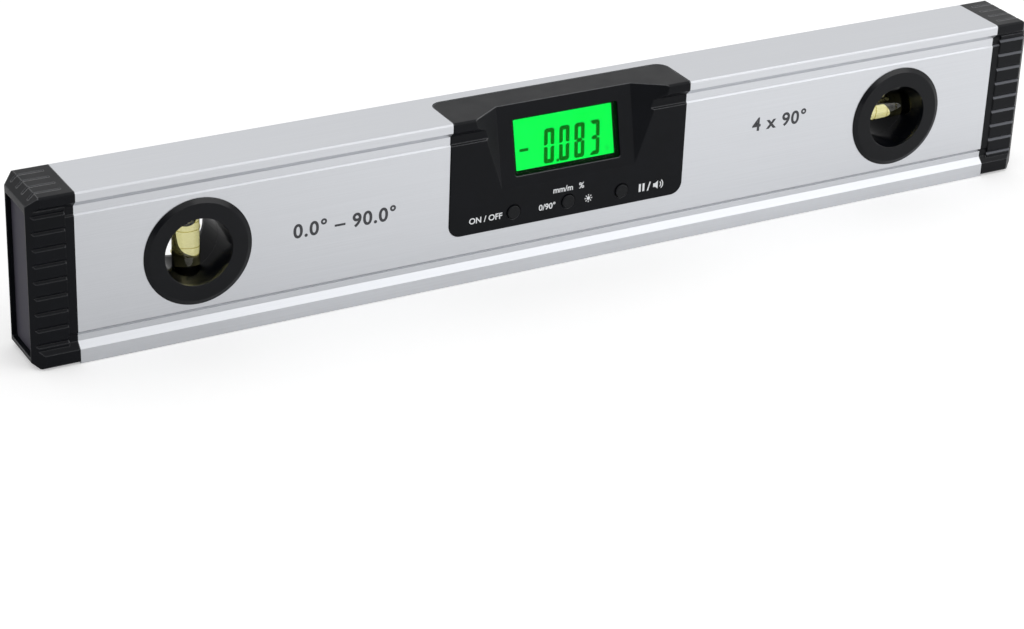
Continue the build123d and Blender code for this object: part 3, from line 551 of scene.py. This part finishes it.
# vials: clear acrylic, spirit dyed yellow-green, air; the indices are those across each surface
vial_acrylic = polished_clear("polished_vial_acrylic", "#F9F8E6", ior=1.49)
vial_spirit = polished_clear("dyed_vial_spirit", "#DCD8AA", ior=1.44 / 1.49)
vial_air = polished_clear("vial_bubble_air", "#FFFFFF", ior=1 / 1.44)
# the lines round the vials: ink so thin that light comes through it
ring_ink = polished_clear("thin_ring_ink", "#D2CC98", ior=1.0)
# other inks: matt and a little uneven
white_ink = speckled("white_pad_print", ("#DDDFE1", "#EBEDEF"), grain=0.15, roughness=0.5)
dark_ink = speckled("dark_screen_print", ("#2A2B30", "#35363B"), grain=0.2, roughness=0.45)
# plated metals: bright, with a mottled lustre
steel = speckled("nickel_plated_steel", ("#A6A7A9", "#BFC0C2"), grain=0.6, roughness=0.28, metallic=1.0)
magnet_nickel = speckled(
    "nickel_plated_magnet", ("#8E8F92", "#A3A4A7"), grain=0.8, roughness=0.3, metallic=1.0
)
# electronics: masked boards, cast resins, uneven contact rubber, frosted acrylic and amber film
board_mask = solder_mask()
component_epoxy = speckled("cast_component_epoxy", ("#141414", "#1E1E1E"), grain=0.3, roughness=0.5)
contact_rubber = speckled("striped_contact_rubber", ("#2A2A2A", "#5A5A58"), grain=0.2, roughness=0.6)
guide_acrylic = speckled("frosted_guide_acrylic", ("#CFEBD6", "#E4F6E8"), grain=0.8, roughness=0.4)
lamp_resin = speckled("cast_lamp_resin", ("#D8D6B8", "#EBE9CE"), grain=0.5, roughness=0.3)
ribbon_film = speckled("amber_ribbon_film", ("#8A4A0C", "#B4681A"), grain=0.8, roughness=0.3)
# the cells lie head to tail
upper_sleeve = printed_sleeve("battery_cell_upper", plus_at_right=True)
lower_sleeve = printed_sleeve("battery_cell_lower", plus_at_right=False)

finishes = {
    "profile": aluminium,
    "end_cap_left": black_abs,
    "end_cap_right": rib_highlit_abs,
    "end_pad_left": pad_rubber_and_sheen,
    "end_pad_right": pad_rubber_and_sheen,
    "display_housing": black_abs,
    "display_window": window_acrylic,
    "lcd_glass": border_film,
    "lcd_connector": contact_rubber,
    "light_guide": guide_acrylic,
    "backlight_leds": lamp_resin,
    "main_board": board_mask,
    "main_chip": component_epoxy,
    "tilt_sensor": component_epoxy,
    "buzzer": component_epoxy,
    "key_board": board_mask,
    "key_switches": component_epoxy,
    "board_link": ribbon_film,
    "button_left": key_rubber,
    "button_middle": key_rubber,
    "button_right": key_rubber,
    "board_screws": steel,
    "housing_screws": steel,
    "battery_box": black_abs,
    "battery_door": black_abs,
    "battery_cell_upper": upper_sleeve,
    "battery_cell_lower": lower_sleeve,
    "battery_contacts": steel,
    "base_magnets": magnet_nickel,
}
for vial in ("plumb", "level"):
    finishes[f"{vial}_bezel_front"] = bezel_abs
    finishes[f"{vial}_bezel_rear"] = bezel_abs
    finishes[f"{vial}_vial"] = vial_acrylic
    finishes[f"{vial}_plug"] = vial_acrylic
    finishes[f"{vial}_liquid"] = vial_spirit
    finishes[f"{vial}_bubble"] = vial_air
    finishes[f"{vial}_rings"] = ring_ink
for name, finish in finishes.items():
    nodes[name].data.materials.clear()
    nodes[name].data.materials.append(finish)


def add_piece(name, mesh, finish, body="frame"):
    """A new piece on a body, with its finish."""
    mesh.materials.clear()
    mesh.materials.append(finish)
    piece = bpy.data.objects.new(name, mesh)
    scene.collection.objects.link(piece)
    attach(piece, body)
    return piece


def plates(name, outlines, place, thickness, finish, body="frame"):
    """Thin plates cut to outlines in millimetres, standing on the plane that the matrix gives."""
    shape = bmesh.new()
    for outline in outlines:
        back = shape.faces.new([shape.verts.new((x, y, 0)) for x, y in outline])
        grown = bmesh.ops.extrude_face_region(shape, geom=[back], use_keep_orig=True)["geom"]
        front = [v for v in grown if isinstance(v, bmesh.types.BMVert)]
        bmesh.ops.translate(shape, verts=front, vec=(0, 0, thickness))
    bmesh.ops.recalc_face_normals(shape, faces=shape.faces)
    shape.transform(Matrix.Scale(MM, 4) @ place)
    mesh = bpy.data.meshes.new(name)
    shape.to_mesh(mesh)
    shape.free()
    return add_piece(name, mesh, finish, body)


def print_text(name, words, cap_height, place, ink, weight=0.0, spread=1.0):
    """Words in flat print; the matrix gives their plane, and its origin is the middle of the capitals."""
    curve = bpy.data.curves.new(name, "FONT")
    curve.body = words
    curve.align_x = "CENTER"
    curve.size = cap_height / CAP_SHARE
    curve.space_character = spread
    curve.offset = weight
    curve.extrude = INK_T / 2
    text = bpy.data.objects.new(name + "_text", curve)
    scene.collection.objects.link(text)
    mesh = bpy.data.meshes.new_from_object(text.evaluated_get(bpy.context.evaluated_depsgraph_get()))
    bpy.data.objects.remove(text)
    mesh.transform(Matrix.Scale(MM, 4) @ place @ Matrix.Translation((0, -cap_height / 2, INK_T / 2)))
    mesh.name = name
    return add_piece(name, mesh, ink)


def facing_front(x, y, z):
    """Plane at a point, upright and looking along -Y."""
    return Matrix.Translation((x, y, z)) @ Matrix.Rotation(math.radians(90), 4, "X")


def box_middle(node):
    """Middle of a node's box, in millimetres."""
    low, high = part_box(node)
    return (low + high) / (2 * MM)


def rectangle(x, y, width, height):
    """Outline of a rectangle about a middle point."""
    return [
        (x - width / 2, y - height / 2),
        (x + width / 2, y - height / 2),
        (x + width / 2, y + height / 2),
        (x - width / 2, y + height / 2),
    ]


def arc(x, y, radius, start, end, steps=ARC_STEPS):
    """Points along an arc, with its ends in degrees."""
    turns = [math.radians(start + (end - start) * i / steps) for i in range(steps + 1)]
    return [(x + radius * math.cos(t), y + radius * math.sin(t)) for t in turns]


def digit(figure, x):
    """Outlines of a figure's lit segments, cut at the outer corners, parted at the waist and slanted."""
    w = DIGIT_W / 2
    h = DIGIT_H / 2
    stroke = DIGIT_STROKE
    cut = DIGIT_CUT
    waist = DIGIT_WAIST
    inner = w - stroke
    bar = [
        (cut - w, h),
        (w - cut, h),
        (w - cut / 2, h - cut / 2),
        (inner, h - stroke),
        (-inner, h - stroke),
        (cut / 2 - w, h - cut / 2),
    ]
    upright = [
        (-w, h - cut),
        (cut / 2 - w, h - cut / 2),
        (-inner, h - stroke),
        (-inner, waist + DIGIT_NOTCH),
        (-inner - DIGIT_NOTCH, waist),
        (-w, waist),
    ]
    side = inner - DIGIT_GAP
    tip = side + stroke / 2
    cross = [
        (-tip, 0),
        (-side, -stroke / 2),
        (side, -stroke / 2),
        (tip, 0),
        (side, stroke / 2),
        (-side, stroke / 2),
    ]
    shapes = {
        "a": (bar, 1, 1),
        "b": (upright, -1, 1),
        "c": (upright, -1, -1),
        "d": (bar, 1, -1),
        "e": (upright, 1, -1),
        "f": (upright, 1, 1),
        "g": (cross, 1, 1),
    }
    outlines = []
    for key in SEGMENTS_LIT[figure]:
        shape, across, up = shapes[key]
        corners = [(across * u, up * v) for u, v in shape]
        outlines.append([(x + u + DIGIT_SLANT * v, DIGIT_FOOT + h + v) for u, v in corners])
    return outlines


def display():
    """Lit film on the display glass, and the dark segments and pale unit of the reading in front of it."""
    tilt = math.radians(PANEL_TILT)
    outward = Vector((0, -math.cos(tilt), math.sin(tilt)))
    upward = Vector((0, math.sin(tilt), math.cos(tilt)))
    glass = box_middle("display_window") - outward * (WINDOW_T / 2 + WINDOW_TO_GLASS)
    axes = Matrix((Vector((1, 0, 0)), upward, outward)).transposed().to_4x4()
    film_place = Matrix.Translation(glass) @ axes
    segment_place = Matrix.Translation(glass + outward * SEGMENT_LIFT) @ axes
    left = LIT_X - LIT_W / 2 + LIT_CORNER_R
    right = LIT_X + LIT_W / 2 - LIT_CORNER_R
    low = LIT_UP - LIT_H / 2 + LIT_CORNER_R
    high = LIT_UP + LIT_H / 2 - LIT_CORNER_R
    film = (
        arc(right, high, LIT_CORNER_R, 0, 90)
        + arc(left, high, LIT_CORNER_R, 90, 180)
        + arc(left, low, LIT_CORNER_R, 180, 270)
        + arc(right, low, LIT_CORNER_R, 270, 360)
    )
    lit_area = plates("lcd_lit_film", [film], film_place, FILM_T, lit_film)
    # such a film shines straight out of its window, so the recess beside them mirrors no glow
    for shown in (lit_area, nodes["display_window"]):
        shown.visible_diffuse = False
        shown.visible_glossy = False
    lit = [rectangle(MINUS_X, MINUS_UP, MINUS_W, MINUS_H)]
    for index, figure in enumerate(READING):
        lit += digit(figure, FIRST_DIGIT_X + index * DIGIT_PITCH)
    point_x = FIRST_DIGIT_X + DIGIT_PITCH / 2
    lit.append(rectangle(point_x, DIGIT_FOOT + POINT_SIZE / 2, POINT_SIZE, POINT_SIZE))
    plates("lcd_segments", lit, segment_place, SEGMENT_T, segment_ink)
    unit_place = segment_place @ Matrix.Translation((UNIT_X, UNIT_UP, 0))
    print_text("lcd_unit", "%", UNIT_H, unit_place, unit_ink)


def lamp_sign():
    """Outlines of the display-light sign: a disc with rays."""
    disc_r = 0.62
    disc_steps = 24
    rays = 8
    ray = rectangle(1.15, 0, 0.55, 0.3)
    outlines = [arc(0, 0, disc_r, 0, 360 - 360 / disc_steps, disc_steps - 1)]
    for index in range(rays):
        turn = Matrix.Rotation(2 * math.pi * index / rays, 2)
        outlines.append([turn @ Vector(corner) for corner in ray])
    return outlines


def hold_and_sound_sign():
    """Outlines of the sign for hold and sound: two bars, a stroke, and a horn with two waves."""
    bar_w = 0.6
    bar_h = 2.2
    mouth_x = 1.5
    mouth_h = 1.15  # half of it
    wave_angle = 48
    wave_w = 0.28
    outlines = [
        rectangle(-3.9, 0, bar_w, bar_h),
        rectangle(-2.8, 0, bar_w, bar_h),
        [(-1.75, -1.2), (-1.35, -1.2), (-0.65, 1.2), (-1.05, 1.2)],
        [(0.1, -0.5), (0.7, -0.5), (mouth_x, -mouth_h), (mouth_x, mouth_h), (0.7, 0.5), (0.1, 0.5)],
    ]
    for radius in (0.75, 1.35):
        inner = arc(mouth_x, 0, radius, -wave_angle, wave_angle)
        outer = arc(mouth_x, 0, radius + wave_w, wave_angle, -wave_angle)
        outlines.append(inner + outer)
    return outlines


def legends():
    """Small white legends and signs beside the keys."""
    keys = {side: box_middle(f"button_{side}") for side in ("left", "middle", "right")}
    face_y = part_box("button_left")[0].y / MM + KEY_PROUD
    keys_z = keys["middle"].z
    for name, words, key, right, row in LEGENDS:
        place = facing_front(keys[key].x + right, face_y, keys_z + row)
        print_text(name, words, LEGEND_H, place, white_ink, LEGEND_WEIGHT)
    for name, outlines, key, right, scale in (
        ("legend_lamp", lamp_sign(), "middle", LAMP_SIGN_RIGHT, LAMP_SIGN_SCALE),
        ("legend_hold_sound", hold_and_sound_sign(), "right", SOUND_SIGN_RIGHT, SOUND_SIGN_SCALE),
    ):
        place = facing_front(keys[key].x + right, face_y, keys_z + LOWER_ROW)
        plates(name, outlines, place @ Matrix.Diagonal((scale, scale, 1, 1)), INK_T, white_ink)


def rail_print():
    """Plain angle figures printed on the web."""
    face_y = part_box("plumb_bezel_front")[0].y / MM + BEZEL_T
    middle_z = box_middle("plumb_bezel_front").z
    for name, words, x, up in RAIL_PRINTS:
        place = facing_front(x, face_y, middle_z + up)
        print_text(name, words, RAIL_PRINT_H, place, dark_ink, RAIL_PRINT_WEIGHT, RAIL_PRINT_SPREAD)


def door_arrow():
    """Raised arrow that shows which way the battery door slides."""
    middle = box_middle("battery_door")
    face_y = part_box("battery_door")[1].y / MM
    place = facing_front(middle.x, face_y, middle.z) @ Matrix.Rotation(math.pi, 4, "Y")
    outline = [(-ARROW_W / 2, 0), (ARROW_W / 2, -ARROW_H / 2), (ARROW_W / 2, ARROW_H / 2)]
    plates("door_arrow", [outline], place, ARROW_T, black_abs, "door")


def lathe(name, outline, centre, axis, finish):
    """Closed solid turned about an axis from (radius, along) points, end to end."""
    shape = bmesh.new()
    rings = []
    for radius, along in outline:
        turns = [2 * math.pi * i / LATHE_STEPS for i in range(LATHE_STEPS)]
        rings.append([shape.verts.new((radius * math.cos(t), radius * math.sin(t), along)) for t in turns])
    for low, high in zip(rings, rings[1:]):
        for i in range(LATHE_STEPS):
            j = (i + 1) % LATHE_STEPS
            shape.faces.new((low[i], low[j], high[j], high[i]))
    shape.faces.new(rings[0][::-1])
    shape.faces.new(rings[-1])
    for face in shape.faces:
        face.smooth = len(face.verts) == 4
    turn = Vector((0, 0, 1)).rotation_difference(axis).to_matrix().to_4x4()
    shape.transform(Matrix.Scale(MM, 4) @ Matrix.Translation(centre) @ turn)
    mesh = bpy.data.meshes.new(name)
    shape.to_mesh(mesh)
    shape.free()
    return add_piece(name, mesh, finish)


def turned_size(node, axis):
    """Half the length of a turned node along its axis, and its radius, in millimetres."""
    low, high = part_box(node)
    size = (high - low) / MM
    return size.dot(axis) / 2, size.y / 2


def filled_vial(vial, axis):
    """Acrylic vial and the spirit in it, as the surfaces that bend the light."""
    centre = box_middle(f"{vial}_vial")
    half, radius = turned_size(f"{vial}_vial", axis)
    edge = VIAL_EDGE_R
    rounded = [(radius - edge + x, half - edge + y) for x, y in arc(0, 0, edge, 90, 0)]
    outline = [(r, -a) for r, a in rounded] + [(r, a) for r, a in reversed(rounded)]
    wall = lathe(f"{vial}_vial_wall", outline, centre, axis, vial_acrylic)
    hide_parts(f"{vial}_vial", f"{vial}_plug")

    half, radius = turned_size(f"{vial}_liquid", axis)
    steps = 2 * ARC_STEPS
    outline = []
    for i in range(steps + 1):
        share = 2 * i / steps - 1
        outline.append((radius * (1 - (1 - SPIRIT_END_SHARE) * share**2), half * share))
    spirit = lathe(f"{vial}_spirit", outline, centre, axis, vial_spirit)
    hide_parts(f"{vial}_liquid")


def floor():
    """White floor that keeps the level's shadow; what the level mirrors of it is brighter to the right."""
    mesh = bpy.data.meshes.new("studio_floor")
    size = FLOOR_SIZE * MM
    corners = [(x, y, -FLOOR_DROP * MM) for x, y in rectangle(0, 0, size, size)]
    mesh.from_pydata(corners, [], [(0, 1, 2, 3)])
    made, tree, shader = new_finish(
        "matt_white_floor",
        Base_Color=linear("#E6E6E6"),
        Roughness=0.9,
        Specular_IOR_Level=0.0,
        Emission_Color=linear("#FFFFFF"),
    )
    path = add_node(tree, "LightPath").outputs
    place = add_node(tree, "TexCoord").outputs["Object"]
    along = add_node(tree, "SeparateXYZ", links={"Vector": place})
    rise = add_node(
        tree,
        "MapRange",
        {
            "From Min": MIRRORED_FROM * MM,
            "From Max": MIRRORED_TO * MM,
            "To Min": MIRRORED_GLOW[0],
            "To Max": MIRRORED_GLOW[1],
        },
        {"Value": along.outputs["X"]},
    )
    away = add_node(tree, "Math", links={0: along.outputs["Y"]}, operation="ABSOLUTE")
    shadow = add_node(
        tree,
        "MapRange",
        {"From Min": SHADOW_FROM * MM, "From Max": SHADOW_TO * MM, "To Min": SHADOW_GLOW},
        {"Value": away.outputs["Value"]},
    )
    shaded = add_node(
        tree,
        "Math",
        links={0: shadow.outputs["Result"], 1: rise.outputs["Result"]},
        operation="MULTIPLY",
    )
    mirrored = add_node(
        tree,
        "Math",
        links={0: path["Is Glossy Ray"], 1: shaded.outputs["Value"]},
        operation="MULTIPLY",
    )
    glow = add_node(
        tree,
        "Math",
        {1: FLOOR_GLOW},
        {0: path["Is Camera Ray"], 2: mirrored.outputs["Value"]},
        operation="MULTIPLY_ADD",
    )
    tree.links.new(glow.outputs["Value"], shader.inputs["Emission Strength"])
    # clear from below, so that the base can be looked at
    below = add_node(tree, "NewGeometry").outputs["Backfacing"]
    clear = add_node(tree, "BsdfTransparent").outputs["BSDF"]
    sided = add_node(tree, "MixShader", links={0: below, 1: shader.outputs["BSDF"], 2: clear})
    tree.links.new(sided.outputs["Shader"], tree.nodes["Material Output"].inputs["Surface"])
    mesh.materials.append(made)
    plane = bpy.data.objects.new("studio_floor", mesh)
    scene.collection.objects.link(plane)


def soft_box(name, place, width, height, power):
    """Rectangular studio lamp, aimed at the level, with its width as near along it as that allows."""
    lamp = bpy.data.lights.new(name, "AREA")
    lamp.shape = "RECTANGLE"
    lamp.size = width * MM
    lamp.size_y = height * MM
    lamp.energy = power
    back = (Vector(place) - LEVEL_MIDDLE).normalized()
    across = (Vector((1, 0, 0)) - back * back.x).normalized()
    axes = Matrix((across, back.cross(across), back)).transposed().to_4x4()
    made = bpy.data.objects.new(name, lamp)
    made.matrix_world = Matrix.Translation(Vector(place) * MM) @ axes
    scene.collection.objects.link(made)


def studio():
    """White surroundings, dim behind the camera where pieces mirror them, and soft boxes."""
    world = bpy.data.worlds.new("white_studio")
    scene.world = world
    world.use_nodes = True
    tree = world.node_tree
    path = add_node(tree, "LightPath").outputs
    toward = add_node(tree, "TexCoord").outputs["Generated"]
    facing = add_node(tree, "VectorMath", {1: DIM_SIDE}, {0: toward}, operation="DOT_PRODUCT")
    room = add_node(
        tree,
        "MapRange",
        {"From Min": DIM_FROM, "From Max": DIM_TO, "To Min": 1.0, "To Max": DIM_LEVEL},
        {"Value": facing.outputs["Value"]},
    )
    lighting = add_node(
        tree,
        "MapRange",
        {"To Min": AMBIENT},
        {"Value": path["Is Glossy Ray"], "To Max": room.outputs["Result"]},
    )
    seen = add_node(
        tree,
        "Math",
        links={0: path["Is Camera Ray"], 1: path["Is Transmission Ray"]},
        operation="MAXIMUM",
    )
    level = add_node(
        tree,
        "MapRange",
        {"To Max": 1.0},
        {"Value": seen.outputs["Value"], "To Min": lighting.outputs["Result"]},
    )
    back = tree.nodes["Background"]
    back.inputs["Color"].default_value = linear("#FFFFFF")
    tree.links.new(level.outputs["Result"], back.inputs["Strength"])
    for name, place, width, height, power in SOFT_BOXES:
        soft_box(name, place, width, height, power)


def camera():
    """Camera that sees the level as the photograph does."""
    azimuth = math.radians(CAMERA_AZIMUTH)
    elevation = math.radians(CAMERA_ELEVATION)
    roll = math.radians(CAMERA_ROLL)
    back = Vector(
        (
            math.sin(azimuth) * math.cos(elevation),
            -math.cos(azimuth) * math.cos(elevation),
            math.sin(elevation),
        )
    )
    level = Vector((math.cos(azimuth), math.sin(azimuth), 0))
    up = back.cross(level)
    right = level * math.cos(roll) + up * math.sin(roll)
    up = up * math.cos(roll) - level * math.sin(roll)
    place = LEVEL_MIDDLE - right * LEVEL_RIGHT_OF_AXIS - up * LEVEL_ABOVE_AXIS + back * CAMERA_DISTANCE
    lens = bpy.data.cameras.new("photo_camera")
    lens.sensor_fit = "HORIZONTAL"
    lens.sensor_width = SENSOR_WIDTH
    lens.lens = FOCAL_PX / IMAGE_WIDTH_PX * SENSOR_WIDTH
    lens.clip_start = NEAREST_SEEN * MM
    lens.clip_end = FARTHEST_SEEN * MM
    made = bpy.data.objects.new("photo_camera", lens)
    axes = Matrix((right, up, back)).transposed().to_4x4()
    made.matrix_world = Matrix.Translation(place * MM) @ axes
    scene.collection.objects.link(made)
    scene.camera = made


display()
legends()
rail_print()
door_arrow()
filled_vial("plumb", Vector((0, 0, 1)))
filled_vial("level", Vector((1, 0, 0)))
floor()
studio()
camera()
scene.view_settings.view_transform = "Standard"
